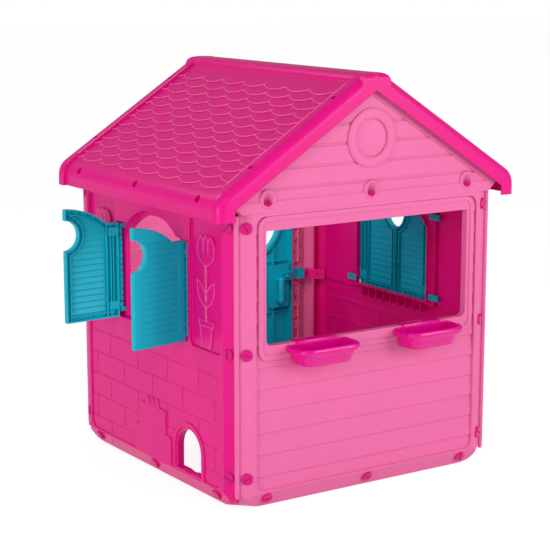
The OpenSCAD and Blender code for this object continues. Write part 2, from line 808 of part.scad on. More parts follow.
// Space for a gable inside the roof
module gable_room() {
  x1 = gable_x1 + 2 * seat;
  top = gable_under - seat;
  slab(-seat, gable_depth + seat) polygon([[-x1, wall_top], [x1, wall_top], [x1, roof_line(x1, top)],
    [0, roof_line(0, top)], [-x1, roof_line(x1, top)]]);
}
module roof_half() {
  difference() {
    union() {
      difference() {
        roof_block(0);
        difference() {
          roof_block(skin);
          for (y = cap_xs) at_eave_screw(y, -60) cylinder(r = eave_pocket_r + skin, h = 150);
          for (u = verge_us) at_roof_verge(u, -20)
            cylinder(r = verge_pocket_r + skin, h = gable_under - seat + 20);
        }
      }
      shingles();
    }
    for (y = cap_xs) {
      at_eave_screw(y, -60) cylinder(r = eave_pocket_r, h = 60 + eave_seat);
      at_eave_screw(y, -60) cylinder(r = small_r + play, h = 180);
    }
    for (u = verge_us) {
      at_roof_verge(u, -20) cylinder(r = verge_pocket_r, h = 20 + verge_seat);
      at_roof_verge(u, -20) cylinder(r = small_r + play, h = 70);
    }
    translate([0, 0, wall_top + seat - 200])
      span([-10, -half - seat, 0], [half + seat, half + seat, 200]);
    for (a = [0, 180]) rotate([0, 0, a]) translate([0, -half, 0]) gable_room();
  }
}
module roof_right() { from_foot() color(rose) roof_half(); }
module roof_left() { from_foot() color(rose) mirror([1, 0, 0]) roof_half(); }

// ---- screws and brackets -------------------------------------------------------------

// A slotted screw: +Z is the way it goes in, and its head's seat is at zero
module screw(r, t, shank, length, turn = 0) {
  chamfer = t / 3;
  rotate([0, 0, turn]) difference() {
    union() {
      translate([0, 0, -t]) cylinder(r1 = r - chamfer, r2 = r, h = chamfer);
      translate([0, 0, chamfer - t]) cylinder(r = r, h = t - chamfer);
      translate([0, 0, -1]) cylinder(r = shank, h = length + 1);
    }
    translate([-r, -r / 7, -t - 1]) cube([2 * r, 2 * r / 7, t / 2 + 1]);
  }
}
module each_wall() { for (a = [0 : 90 : 270]) rotate([0, 0, a]) translate([0, -half, 0]) children(); }
module corner_screws() {
  from_foot() color(rose) each_wall() for (side = [-1, 1], k = [0 : 2])
    at_corner_screw(side, corner_zs[k]) screw(head_r, head_t, shank_r, shank_l, 50 * k + 35 * side);
}
module base_screws() {
  from_foot() color(rose) each_wall() for (k = [0 : 2])
    at_base_screw(base_xs[k]) screw(head_r, head_t, shank_r, 26, 40 * k);
}
module gable_screws() {
  from_foot() color(dark_rose) for (a = [0, 180]) rotate([0, 0, a]) translate([0, -half, 0])
    for (x = cap_xs) at_gable_screw(x, gable_floor) screw(12, 5, small_r, gable_entry + 22 - gable_floor, x);
}
module eave_screws() {
  from_foot() color(dark_rose) for (m = [0, 1]) mirror([m, 0, 0]) for (y = cap_xs)
    at_eave_screw(y, eave_seat) screw(10, 4, small_r, eave_entry + 22 - eave_seat, 30);
}
module verge_screws() {
  from_foot() color(rose) for (a = [0, 180]) rotate([0, 0, a]) translate([0, -half, 0])
    verge_screw_set(verge_seat) screw(7.5, 4, small_r, gable_under + 18 - verge_seat, 20);
}

bracket_t = 5;
bracket_h = 38;
bracket_w = 90;
module each_corner_screw(z) {
  at_corner_screw(1, z) children();
  translate([0, half, 0]) rotate([0, 0, 90]) translate([0, -half, 0]) at_corner_screw(-1, z) children();
}
// Bracket inside one corner: a plate across the corner and two tubes for the screws
module corner_bracket(z) {
  back = panel_depth * sqrt(2) + skin + seat;
  difference() {
    union() {
      translate([half, 0, z]) rotate([0, 0, 135])
        span([back, -bracket_w / 2, -bracket_h / 2], [back + bracket_t, bracket_w / 2, bracket_h / 2]);
      intersection() {
        each_corner_screw(z) translate([0, 0, skin]) cylinder(r = 8, h = 90);
        translate([half, 0, z]) rotate([0, 0, 135]) span([-5, -60, -40], [back + 1, 60, 40]);
      }
    }
    each_corner_screw(z) cylinder(r = shank_r + play, h = 120);
  }
}
module corner_brackets() {
  from_foot() color(dark_rose) each_wall() for (z = corner_zs) corner_bracket(z);
}

// ---- shutters ------------------------------------------------------------------------

leaf_gap = 2;
leaf_edge = hinge_at - 14;
leaf_y0 = 2;
leaf_skin = 6;
rib_w = 5;
module leaf_outline(g) {
  difference() {
    union() {
      intersection() {
        translate([0, leaf_crown - leaf_r]) circle(leaf_r - g);
        translate([leaf_gap + g, leaf_shoulder - 60]) square([leaf_edge - leaf_gap - 2 * g, 200]);
      }
      translate([leaf_gap + g, leaf_bottom + g])
        square([leaf_edge - leaf_gap - 2 * g, leaf_shoulder - 40 - leaf_bottom]);
      translate([leaf_edge - 48 + g, leaf_bottom + g]) square([48 - 2 * g, leaf_shoulder - leaf_bottom - 2 * g]);
    }
    translate([0, peep_z]) circle(peep_r + g);
  }
}
louvre_h = 20;
louvre_n = 15;
louvre_deep = 3;
module louvres() {
  z0 = leaf_bottom + 22;
  run_x(leaf_gap + 24, leaf_edge - 22) for (i = [0 : louvre_n - 1])
    translate([leaf_y0 - 1, z0 + i * louvre_h])
      polygon([[0, 1], [1, 1], [1 + louvre_deep, louvre_h - 1], [0, louvre_h - 1]]);
}
// The inner side of a shutter: backs of the slats, a second wall with short ribs
// outside it, two ribs along the hinge and a block behind each knuckle
rib_in = 20;
module leaf_ribs() {
  y0 = leaf_y0 + leaf_skin - 1;
  run_x(rib_in + 4, leaf_edge - 46) for (i = [0 : louvre_n - 1])
    translate([y0, leaf_bottom + 24 + i * louvre_h]) polygon([[0, 0], [0, 15], [1, 15], [4, 1], [4, 0]]);
  slab(y0, leaf_y0 + leaf_t - 3) difference() { leaf_outline(rib_in - 4); leaf_outline(rib_in); }
  slab(y0, leaf_y0 + leaf_t - 5) intersection() {
    difference() { leaf_outline(rib_w - 1); leaf_outline(rib_in - 3); }
    union() {
      for (x = [18 : 30 : leaf_edge]) {
        translate([x, leaf_bottom]) square([3, rib_in]);
        translate([x, peep_z + 20]) square([3, house]);
      }
      for (z = [leaf_bottom + 40 : 36 : leaf_shoulder - 10]) translate([0, z]) square([leaf_edge, 3]);
    }
  }
  for (x = [44, 30]) span([leaf_edge - x, y0, 0], [leaf_edge - x + 4, leaf_y0 + leaf_t - 2, house]);
  for (z = leaf_knuckle_z) span([leaf_edge - 36, y0, z[0] - 6], [leaf_edge, leaf_y0 + leaf_t - 1, z[1] + 6]);
}
leaf_pin_r = 4;
leaf_knuckle_z = [[515, 531], [761, 777]];
pin_zs = [[499, 516], [776, 792]];
module leaf_knuckles() {
  for (z = leaf_knuckle_z) {
    translate([hinge_at, hinge_deep, z[0]]) cylinder(r = 7, h = z[1] - z[0]);
    span([leaf_edge - 3, hinge_deep - 4, z[0]], [hinge_at, hinge_deep + 4, z[1]]);
  }
  for (z = pin_zs) translate([hinge_at, hinge_deep, z[0]]) cylinder(r = leaf_pin_r, h = z[1] - z[0]);
}
// The leaf hinged at +x, closed, in the wall panel's own frame
module leaf() {
  difference() {
    slab(leaf_y0, leaf_y0 + leaf_t) leaf_outline(0);
    difference() {
      slab(leaf_y0 + leaf_skin, leaf_y0 + leaf_t + 1) leaf_outline(rib_w);
      leaf_ribs();
    }
    difference() {
      louvres();
      translate([0, 100, peep_z]) rotate([90, 0, 0]) cylinder(r = peep_r + 12, h = 200);
    }
  }
  leaf_knuckles();
}
// side is the end of the window that the leaf hangs at, seen in the panel's own frame
module hung_leaf(side, open) {
  mirror([side < 0 ? 1 : 0, 0, 0]) translate([hinge_at, hinge_deep, 0]) rotate([0, 0, open])
    translate([-hinge_at, -hinge_deep, 0]) leaf();
}
module in_left_wall() { rotate([0, 0, -90]) translate([0, -half, 0]) children(); }
module left_shutter_front() { from_foot() color(teal) in_left_wall() hung_leaf(1, open_front); }
module left_shutter_rear() { from_foot() color(teal) in_left_wall() hung_leaf(-1, open_rear); }
module right_shutter_front() { from_foot() color(teal) mirror([1, 0, 0]) in_left_wall() hung_leaf(1, 0); }
module right_shutter_rear() { from_foot() color(teal) mirror([1, 0, 0]) in_left_wall() hung_leaf(-1, 0); }

// Clip behind the wall, whose eye comes through a slot and holds a shutter's pin
clip_l = 44;
module hinge_clip(side, z) {
  y_in = rest_deep + skin;
  mirror([side < 0 ? 1 : 0, 0, 0]) difference() {
    union() {
      span([hinge_at - 6, y_in + seat, z - clip_h / 2 - 3], [hinge_at + clip_l, y_in + seat + 6, z + clip_h / 2 + 3]);
      span([hinge_at - 6, hinge_deep, z - clip_h / 2], [hinge_at + 6, y_in + 3, z + clip_h / 2]);
      translate([hinge_at, hinge_deep, z - clip_h / 2]) cylinder(r = 6, h = clip_h);
    }
    translate([hinge_at, hinge_deep, z - clip_h]) cylinder(r = leaf_pin_r + play / 2, h = 2 * clip_h);
  }
}
module hinge_clips() { for (side = [-1, 1], z = clip_zs) hinge_clip(side, z); }
module shutter_clips_left() { from_foot() color(teal) in_left_wall() hinge_clips(); }
module shutter_clips_right() { from_foot() color(teal) mirror([1, 0, 0]) in_left_wall() hinge_clips(); }

// ---- door ----------------------------------------------------------------------------

// Drawn in the back panel's own frame, closed
door_y0 = 6;
door_skin = 5;
module door_outline(g) { door_hole(-door_gap - g); }
port_x = back_door_x0 + door_w / 2;
module door_leaf() {
  rib = 6;
  difference() {
    union() {
      difference() {
        slab(door_y0, door_y0 + door_t) door_outline(0);
        difference() {
          slab(door_y0 + door_skin, door_y0 + door_t + 1) door_outline(rib);
          slab(0, 60) translate([port_x, port_z]) circle(port_r + 2 * rib);
          for (x = [port_x - 110, port_x + 104]) span([x, 0, 0], [x + 5, door_y0 + door_t - 4, port_z]);
          for (z = [210, 350, 540]) span([-half, 0, z], [half, door_y0 + door_t - 8, z + 5]);
        }
        slab(0, door_y0 + 2) rrect(port_x - 120, 110, port_x + 120, 520, 20);
      }
      slab(door_y0, door_y0 + 5) difference() {
        rrect(port_x - 105, 125, port_x + 105, 505, 14);
        for (x = [-60, 0, 60]) translate([port_x + x - 3, 100]) square([6, 430]);
      }
    }
    slab(-1, 60) translate([port_x, port_z]) circle(port_r);
  }
}
module door_knuckles() {
  for (z = door_lugs_z) translate([-door_hinge.x, half - door_hinge.y, z + knuckle_h + seat]) {
    cylinder(r = door_knuckle_r - 0.5, h = knuckle_h);
    span([-26, door_knuckle_r - 6, 0], [0, door_knuckle_r - 0.5, knuckle_h]);
    span([-26, door_knuckle_r - 6, 0], [-20, 24, knuckle_h]);
  }
}
module in_back_wall() { rotate([0, 0, 180]) translate([0, -half, 0]) children(); }
module door_panel() {
  from_foot() color(teal) in_back_wall() difference() {
    union() { door_leaf(); door_knuckles(); }
    translate([-door_hinge.x, half - door_hinge.y, 0])
      for (z = door_lugs_z) translate([0, 0, z + knuckle_h - 1]) cylinder(r = door_pin_r + play / 2, h = knuckle_h + 3);
  }
}
module door_hinge_pins() {
  from_foot() color(dark_rose) translate([door_hinge.x, door_hinge.y, 0]) for (z = door_lugs_z) {
    translate([0, 0, z - 3]) cylinder(r = door_pin_r, h = 2 * knuckle_h + 6);
    translate([0, 0, z - 5]) cylinder(r = door_pin_r + 2.5, h = 5);
  }
}
// Plate inside the door with the grip and the guides of the latch
plate_y = half - door_y0 - door_t;
latch_z = 490;
latch_h = 24;
latch_w = 46;
latch_t = 12;
latch_x1 = door_from + door_w - door_gap - 14;
grip_x = 296;
grip_zs = [402, 478];
grip_r = 12;
grip_out = 34;
module door_handle() {
  from_foot() color(teal) {
    slab(plate_y - 5, plate_y) rrect(262, 370, latch_x1 - 2, 530, 8);
    for (z = grip_zs) {
      translate([grip_x, plate_y - grip_out, z]) sphere(grip_r);
      translate([grip_x, plate_y - 4, z]) rotate([90, 0, 0]) cylinder(r = 8, h = grip_out - 4);
    }
    translate([grip_x, plate_y - grip_out, grip_zs[0]]) cylinder(r = grip_r, h = grip_zs[1] - grip_zs[0]);
    for (s = [-1, 1]) translate([0, 0, latch_z]) mirror([0, 0, s < 0 ? 1 : 0]) {
      span([latch_x1 - 44, plate_y - 5 - latch_t - 5, latch_h / 2 + seat],
        [latch_x1 - 4, plate_y - 5, latch_h / 2 + seat + 5]);
      span([latch_x1 - 44, plate_y - 5 - latch_t - 5, latch_h / 2 - 5],
        [latch_x1 - 4, plate_y - 5 - latch_t - seat, latch_h / 2 + seat + 5]);
    }
  }
}
module door_latch() {
  y1 = plate_y - 5 - seat;
  from_foot() color(teal) difference() {
    union() {
      span([latch_x1 - latch_w, y1 - latch_t + seat, latch_z - latch_h / 2],
        [latch_x1, y1, latch_z + latch_h / 2]);
      translate([latch_x1 - 24, y1 - latch_t + 1, latch_z]) rotate([90, 0, 0]) cylinder(r = 6, h = 16);
    }
    span([latch_x1 - latch_w + 6, y1 - latch_t, latch_z - 1.5], [latch_x1 - 34, y1 - latch_t + 2.5, latch_z + 1.5]);
  }
}
// Pocket on the wall that the latch slides into
catch_x0 = door_from + door_w + 8;
catch_l = 30;
catch_out = 52;
module door_catch() {
  y1 = half - field_deep - skin - seat;
  latch_y = plate_y - 5 - seat;
  from_foot() color(teal) difference() {
    span([catch_x0, latch_y - latch_t - 5, latch_z - latch_h / 2 - 5],
      [catch_x0 + catch_l, y1, latch_z + latch_h / 2 + 5]);
    span([catch_x0 - 1, latch_y - latch_t - 1, latch_z - latch_h / 2 - 1],
      [catch_x0 + 22, latch_y + 2, latch_z + latch_h / 2 + 1]);
    translate([catch_x0 + catch_l - 4, half, latch_z]) rotate([90, 0, 0]) cylinder(r = 2 + play, h = 60);
  }
}
module door_catch_screw() {
  latch_y = plate_y - 5 - seat;
  from_foot() color("silver") translate([catch_x0 + catch_l - 4, latch_y - latch_t - 5, latch_z]) rotate([-90, 0, 0])
    screw(3.8, 2.2, 2, 37, 0);
}

// ---- flower boxes --------------------------------------------------------------------

box_skin = 3;
box_lip = 6;
box_top = serve_sill - 5;
// Upright tub between two heights, with rounded front corners of radius r0 below and r1 above.
// Its back lies on y = -back.
module tub(z0, z1, r0, r1, back = 0) {
  for (s = [-1, 1]) translate([s * box_half, -box_in, z0]) cylinder(r1 = r0, r2 = r1, h = z1 - z0);
  run_x(-box_half, box_half)
    polygon([[-back, z0], [-back, z1], [-box_in - r1, z1], [-box_in - r0, z0]]);
  slab(-box_in, -back) polygon([[-box_half - r0, z0], [box_half + r0, z0],
    [box_half + r1, z1], [-box_half - r1, z1]]);
}
module flower_box() {
  hook_w = 150;
  z0 = box_top - box_h;
  hook_z = serve_sill + seat;
  difference() {
    union() {
      intersection() {
        tub(z0, box_top, box_r - box_taper, box_r);
        span([-house, -house, 0], [house, 0, house]);
      }
      intersection() {
        union() {
          tub(box_top - 14, box_top - 10, box_r - 2, box_r + box_lip);
          tub(box_top - 10, box_top - 4, box_r + box_lip, box_r + box_lip);
          tub(box_top - 4, box_top, box_r + box_lip, box_r + box_lip - 4);
        }
        span([-house, -house, 0], [house, 0, house]);
      }
      span([-hook_w / 2, -box_skin, box_top - 40], [hook_w / 2, 0, hook_z + 3]);
      span([-hook_w / 2, -box_skin, hook_z], [hook_w / 2, reveal + 5, hook_z + 3]);
      span([-hook_w / 2, reveal + 1, serve_sill - 22], [hook_w / 2, reveal + 5, hook_z + 3]);
    }
    tub(z0 + box_skin, box_top + 2, box_r - box_taper - box_skin + 1, box_r - box_skin + 1, box_skin);
  }
}
module hung_box(x) { from_foot() color(deep_rose) translate([x, -half - seat, 0]) flower_box(); }
module flower_box_left() { hung_box(-box_at); }
module flower_box_right() { hung_box(box_at); }

// ---- the pieces ----------------------------------------------------------------------

front_wall();
back_wall();
left_wall();
right_wall();
front_gable();
back_gable();
roof_left();
roof_right();
corner_brackets();
corner_screws();
base_screws();
gable_screws();
eave_screws();
verge_screws();
left_shutter_front();
left_shutter_rear();
right_shutter_front();
right_shutter_rear();
shutter_clips_left();
shutter_clips_right();
door_panel();
door_handle();
door_latch();
door_catch();
door_catch_screw();
door_hinge_pins();
flower_box_left();
flower_box_right();
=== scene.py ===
# %% [markdown]
# # A moulded plastic playhouse
# The house comes in as a fixed frame of solid parts, already in metres and in place.
# Here it gets its plastics, its rounded mouldings and small relief, a pale studio floor,
# soft lights and a camera. The frame is loaded first, because every later piece is set
# against it.

# %% Load the frame
import math

import bpy
import bmesh
from mathutils import Matrix, Vector


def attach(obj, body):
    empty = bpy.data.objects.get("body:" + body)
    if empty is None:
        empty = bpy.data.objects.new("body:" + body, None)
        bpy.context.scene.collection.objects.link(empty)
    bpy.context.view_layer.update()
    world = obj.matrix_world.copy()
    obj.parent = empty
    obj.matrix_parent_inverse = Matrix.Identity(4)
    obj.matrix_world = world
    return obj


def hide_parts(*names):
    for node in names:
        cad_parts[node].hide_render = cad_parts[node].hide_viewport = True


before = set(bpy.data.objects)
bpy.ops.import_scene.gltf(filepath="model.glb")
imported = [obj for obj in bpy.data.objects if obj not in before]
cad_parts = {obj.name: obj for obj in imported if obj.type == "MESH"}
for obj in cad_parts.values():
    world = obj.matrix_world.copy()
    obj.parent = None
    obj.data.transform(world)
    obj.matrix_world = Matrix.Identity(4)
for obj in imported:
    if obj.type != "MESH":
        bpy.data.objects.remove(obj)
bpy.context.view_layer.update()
bpy.ops.object.select_all(action="DESELECT")

# %% [markdown]
# ## Camera
# The photograph looks down a little on the corner between the serving window and the
# shuttered side. A long lens, almost twenty degrees wide, keeps the uprights nearly
# parallel, so the camera stands over five metres away. Place and turn were worked out
# from the corners of the walls and the roof, which is why they are not round numbers.

# %% Set the camera
bpy.ops.object.camera_add(location=(-3.0003, -4.0093, 1.6518),
                          rotation=(math.radians(78.95), 0, math.radians(-33.67)))
camera = bpy.context.object
camera.data.sensor_fit = "AUTO"
camera.data.angle = math.radians(19.08)
camera.data.clip_end = 60
bpy.context.scene.camera = camera
bpy.context.scene.view_settings.view_transform = "Standard"
print("camera:", tuple(round(v, 3) for v in camera.location))

# %% [markdown]
# ## Floor and light
# Catalogue pictures stand the toy on white. The floor is a real matt surface that takes
# the house's shadow. For the camera and in reflections it is lifted to white by a share of
# emission, so the white never comes from more light on the plastic. The world is white for
# the camera, dim in reflections, and a plain soft grey for all other light.

# %% Floor and world
WHITE = (1, 1, 1, 1)
FLOOR_GREY = (0.86, 0.86, 0.86, 1)
FLOOR_SIZE, FLOOR_DROP = 60, 0.0004
GLOW_STRENGTH, GLOW_SHARE = 1.27, 0.66
WORLD_LIGHT, WORLD_REFLECTED = 0.50, 0.30
MID = 0.46


def white_floor():
    material = bpy.data.materials.new("studio_floor")
    material.use_nodes = True
    nodes, links = material.node_tree.nodes, material.node_tree.links
    nodes.clear()
    out = nodes.new("ShaderNodeOutputMaterial")
    matt = nodes.new("ShaderNodeBsdfDiffuse")
    matt.inputs["Color"].default_value = FLOOR_GREY
    glow = nodes.new("ShaderNodeEmission")
    glow.inputs["Strength"].default_value = GLOW_STRENGTH
    glow.inputs["Color"].default_value = WHITE
    seen = nodes.new("ShaderNodeLightPath")
    share = nodes.new("ShaderNodeMath")
    share.operation = "MULTIPLY"
    share.inputs[1].default_value = GLOW_SHARE
    either = nodes.new("ShaderNodeMath")
    either.operation = "MAXIMUM"
    links.new(seen.outputs["Is Camera Ray"], either.inputs[0])
    links.new(seen.outputs["Is Glossy Ray"], either.inputs[1])
    links.new(either.outputs[0], share.inputs[0])
    mix = nodes.new("ShaderNodeMixShader")
    links.new(share.outputs[0], mix.inputs[0])
    links.new(matt.outputs[0], mix.inputs[1])
    links.new(glow.outputs[0], mix.inputs[2])
    links.new(mix.outputs[0], out.inputs[0])
    return material


bpy.ops.mesh.primitive_plane_add(size=FLOOR_SIZE, location=(0, MID, -FLOOR_DROP))
floor = bpy.context.object
floor.name = "studio_floor"
floor.data.materials.append(white_floor())

world = bpy.data.worlds.new("soft_studio")
bpy.context.scene.world = world
world.use_nodes = True
sky, links = world.node_tree.nodes, world.node_tree.links
plain = sky["Background"]
plain.inputs["Color"].default_value = WHITE
white = sky.new("ShaderNodeBackground")
white.inputs["Color"].default_value = WHITE
white.inputs["Strength"].default_value = 1.0
path = sky.new("ShaderNodeLightPath")
dim = sky.new("ShaderNodeMapRange")
dim.inputs["To Min"].default_value = WORLD_LIGHT
dim.inputs["To Max"].default_value = WORLD_REFLECTED
links.new(path.outputs["Is Glossy Ray"], dim.inputs["Value"])
links.new(dim.outputs[0], plain.inputs["Strength"])
blend = sky.new("ShaderNodeMixShader")
links.new(path.outputs["Is Camera Ray"], blend.inputs[0])
links.new(plain.outputs[0], blend.inputs[1])
links.new(white.outputs[0], blend.inputs[2])
links.new(blend.outputs[0], sky["World Output"].inputs["Surface"])
print("floor and world ready, the middle of the plan lies", MID, "m behind the front wall's foot")

# %% [markdown]
# One broad lamp stands in front of the serving window, to its right, and gives the front
# its lighter face. A second, weaker one on the shutter side keeps that wall open, and a
# small one over the roof draws the bright lines along the shingles' edges. A faint one
# hangs inside the house, and a tiny one in front puts sparks on the shiny flower boxes.

# %% Lamps
def soft_lamp(name, place, aim, size, watts):
    bpy.ops.object.light_add(type="AREA", location=place)
    lamp = bpy.context.object
    lamp.name = name
    lamp.data.shape = "SQUARE"
    lamp.data.size = size
    lamp.data.energy = watts
    lamp.visible_camera = False
    lamp.rotation_euler = (Vector(aim) - Vector(place)).to_track_quat("-Z", "Y").to_euler()
    return lamp


soft_lamp("front_lamp", (2.5, -4.1, 1.9), (0, 0, 0.7), 2.2, 112)
soft_lamp("side_lamp", (-4.5, -1.6, 1.3), (0, 0.46, 0.6), 1.6, 84)
soft_lamp("roof_lamp", (-1.6, 2.8, 3.6), (-0.2, 0.46, 1.1), 0.8, 26)
soft_lamp("inside_lamp", (-0.05, 0.5, 0.95), (-0.05, 0.95, 0.5), 0.3, 2.6)
soft_lamp("spark_lamp", (-1.6, -3.2, 3.0), (0, 0.1, 0.6), 0.14, 12)
print("lamps ready")

# %% [markdown]
# ## Moulded plastic
# Blow-moulded and injected panels are the same colour all through. What makes them look
# real is small: a satin surface with a fine orange peel, edges that are never sharp, and
# a paler colour painted along the edges as a highlight. The Bevel node rounds the light on every edge
# without touching the meshes, and comparing its normal with the true one finds the edges that get it.

# %% The materials
def moulded_plastic(name, colour, edge_highlight_colour, roughness, peel=0.03, edge=0.0022, coat=0.0):
    """A satin plastic: roughness and coat set its shine, peel its bumps and edge its rounding; the edge
    colour is a painted highlight along the edges.
    """
    material = bpy.data.materials.new(name)
    material.use_nodes = True
    nodes, links = material.node_tree.nodes, material.node_tree.links
    shader = nodes["Principled BSDF"]
    shader.inputs["IOR"].default_value = 1.46
    shader.inputs["Specular IOR Level"].default_value = 0.20
    shader.inputs["Coat Weight"].default_value = coat
    shader.inputs["Coat Roughness"].default_value = 0.07
    place = nodes.new("ShaderNodeTexCoord")

    cloud = nodes.new("ShaderNodeTexNoise")
    cloud.inputs["Scale"].default_value = 3.2
    cloud.inputs["Detail"].default_value = 3
    links.new(place.outputs["Object"], cloud.inputs["Vector"])
    tone = nodes.new("ShaderNodeMapRange")
    tone.inputs["To Min"].default_value = 0.93
    tone.inputs["To Max"].default_value = 1.05
    links.new(cloud.outputs["Fac"], tone.inputs["Value"])
    body = nodes.new("ShaderNodeVectorMath")
    body.operation = "SCALE"
    body.inputs[0].default_value = colour
    links.new(tone.outputs[0], body.inputs["Scale"])

    rounded = nodes.new("ShaderNodeBevel")
    rounded.samples = 4
    rounded.inputs["Radius"].default_value = edge
    true_face = nodes.new("ShaderNodeNewGeometry")
    same = nodes.new("ShaderNodeVectorMath")
    same.operation = "DOT_PRODUCT"
    links.new(rounded.outputs[0], same.inputs[0])
    links.new(true_face.outputs["Normal"], same.inputs[1])
    # Where the bevel normal leaves the true one, a paler colour is mixed in: a painted highlight along
    # the edges.
    painted_edge_highlight = nodes.new("ShaderNodeMapRange")
    painted_edge_highlight.inputs["From Min"].default_value = 0.995
    painted_edge_highlight.inputs["From Max"].default_value = 0.85
    painted_edge_highlight.inputs["To Max"].default_value = 0.45
    links.new(same.outputs["Value"], painted_edge_highlight.inputs["Value"])
    colours = nodes.new("ShaderNodeMix")
    colours.data_type = "RGBA"
    colours.inputs["B"].default_value = (*edge_highlight_colour, 1)
    links.new(painted_edge_highlight.outputs[0], colours.inputs["Factor"])
    links.new(body.outputs["Vector"], colours.inputs["A"])
    links.new(colours.outputs["Result"], shader.inputs["Base Color"])

    dust = nodes.new("ShaderNodeTexNoise")
    dust.inputs["Scale"].default_value = 38
    dust.inputs["Detail"].default_value = 5
    links.new(place.outputs["Object"], dust.inputs["Vector"])
    satin = nodes.new("ShaderNodeMapRange")
    satin.inputs["To Min"].default_value = roughness - 0.05
    satin.inputs["To Max"].default_value = roughness + 0.07
    links.new(dust.outputs["Fac"], satin.inputs["Value"])
    links.new(satin.outputs[0], shader.inputs["Roughness"])

    grain = nodes.new("ShaderNodeTexNoise")
    grain.inputs["Scale"].default_value = 420
    grain.inputs["Detail"].default_value = 2
    links.new(place.outputs["Object"], grain.inputs["Vector"])
    orange_peel = nodes.new("ShaderNodeBump")
    orange_peel.inputs["Strength"].default_value = peel
    orange_peel.inputs["Distance"].default_value = 0.001
    links.new(grain.outputs["Fac"], orange_peel.inputs["Height"])
    links.new(rounded.outputs[0], orange_peel.inputs["Normal"])
    links.new(orange_peel.outputs[0], shader.inputs["Normal"])
    return material


def plated_steel():
    """A screw's dull plating, with streaks in its shine and its grey."""
    material = bpy.data.materials.new("plated_screw_steel")
    material.use_nodes = True
    nodes, links = material.node_tree.nodes, material.node_tree.links
    shader = nodes["Principled BSDF"]
    shader.inputs["Metallic"].default_value = 1
    place = nodes.new("ShaderNodeTexCoord")
    streak = nodes.new("ShaderNodeTexNoise")
    streak.inputs["Scale"].default_value = 900
    links.new(place.outputs["Object"], streak.inputs["Vector"])
    for low, high, socket in ((0.22, 0.45, "Roughness"), (0.50, 0.66, "Base Color")):
        span = nodes.new("ShaderNodeMapRange")
        span.inputs["To Min"].default_value = low
        span.inputs["To Max"].default_value = high
        links.new(streak.outputs["Fac"], span.inputs["Value"])
        links.new(span.outputs[0], shader.inputs[socket])
    return material


# The second colour of each plastic is the paler one painted along its edges as a highlight.
light_pink = moulded_plastic("light_pink_plastic", (0.79, 0.15, 0.37), (0.86, 0.28, 0.50), 0.34)
rose = moulded_plastic("rose_plastic", (0.76, 0.002, 0.22), (0.86, 0.09, 0.36), 0.33)
rose_hardware = moulded_plastic("rose_screw_plastic", (0.66, 0.006, 0.205), (0.82, 0.09, 0.36), 0.30,
                                edge=0.0015)
teal = moulded_plastic("teal_plastic", (0.0, 0.43, 0.56), (0.01, 0.54, 0.66), 0.38, edge=0.0015)
glossy_rose = moulded_plastic("glossy_rose_plastic", (0.76, 0.0, 0.27), (0.86, 0.02, 0.36), 0.24,
                              peel=0.01, coat=0.3)
steel = plated_steel()
# Lips, beads and flower outlines are raised relief of the rose mouldings; their paler rose is a painted
# highlight along them.
painted_highlight_rose = moulded_plastic("rose_lip_plastic", (0.86, 0.11, 0.37), (0.95, 0.45, 0.66), 0.26, edge=0.001)
print("plastics:", [m.name for m in (light_pink, rose, rose_hardware, teal, glossy_rose, painted_highlight_rose)])

# %% [markdown]
# Each solid part takes the plastic of the real piece. Front, back and gables are moulded
# in the lighter pink, the shuttered sides and the roof in rose, and everything that turns
# on a hinge in teal. The parts keep their own shapes and places.

# %% Give each part its plastic
def dress(node, material):
    part = bpy.data.objects[node]
    part.data.materials.clear()
    part.data.materials.append(material)


PLASTIC = {
    "front_wall": light_pink, "back_wall": light_pink,
    "front_gable": light_pink, "back_gable": light_pink,
    "left_wall": rose, "right_wall": rose, "roof_left": rose, "roof_right": rose,
    "corner_brackets": rose, "corner_screws": rose_hardware, "base_screws": rose_hardware,
    "gable_screws": rose_hardware, "eave_screws": rose_hardware, "verge_screws": rose_hardware,
    "left_shutter_front": teal, "left_shutter_rear": teal,
    "right_shutter_front": teal, "right_shutter_rear": teal,
    "shutter_clips_left": teal, "shutter_clips_right": teal,
    "door_panel": teal, "door_handle": teal, "door_latch": teal, "door_catch": teal,
    "door_catch_screw": steel, "door_hinge_pins": rose_hardware,
    "flower_box_left": glossy_rose, "flower_box_right": glossy_rose,
}
for node, material in PLASTIC.items():
    dress(node, material)
print("dressed", len(PLASTIC), "parts")

# %% [markdown]
# ## Working in edit mode
# The next pieces are modelled as by hand: a primitive is put where the piece starts, and
# edit-mode tools pull it into shape. An operator acts on everything that is selected, so
# each piece starts from nothing selected. Beads, posts, knuckles and dots are all a ring
# drawn up step by step, so they share a helper. When a piece is done its place is applied,
# which leaves the object at the origin with its shape in the mesh.

# %% Helpers for modelling
SAME_POINT = 0.00002
SMOOTH_UP_TO = math.radians(50)


def nothing_selected():
    if bpy.context.object and bpy.context.object.mode != "OBJECT":
        bpy.ops.object.mode_set(mode="OBJECT")
    bpy.ops.object.select_all(action="DESELECT")


def settle(piece, name, material, body):
    """Apply the piece's place, clean its mesh, give it its plastic and let it ride on its body."""
    nothing_selected()
    piece.select_set(True)
    bpy.context.view_layer.objects.active = piece
    bpy.ops.object.transform_apply(location=True, rotation=True, scale=True)
    bpy.ops.object.mode_set(mode="EDIT")
    bpy.ops.mesh.select_all(action="SELECT")
    bpy.ops.mesh.remove_doubles(threshold=SAME_POINT)
    bpy.ops.mesh.normals_make_consistent(inside=False)
    bpy.ops.object.mode_set(mode="OBJECT")
    bpy.ops.object.shade_smooth_by_angle(angle=SMOOTH_UP_TO)
    piece.name = name
    piece.data.materials.clear()
    piece.data.materials.append(material)
    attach(piece, body)
    return piece


def joined(parts):
    """Join the parts into the first of them."""
    nothing_selected()
    for part in parts:
        part.select_set(True)
    bpy.context.view_layer.objects.active = parts[0]
    bpy.ops.object.join()
    return bpy.context.object


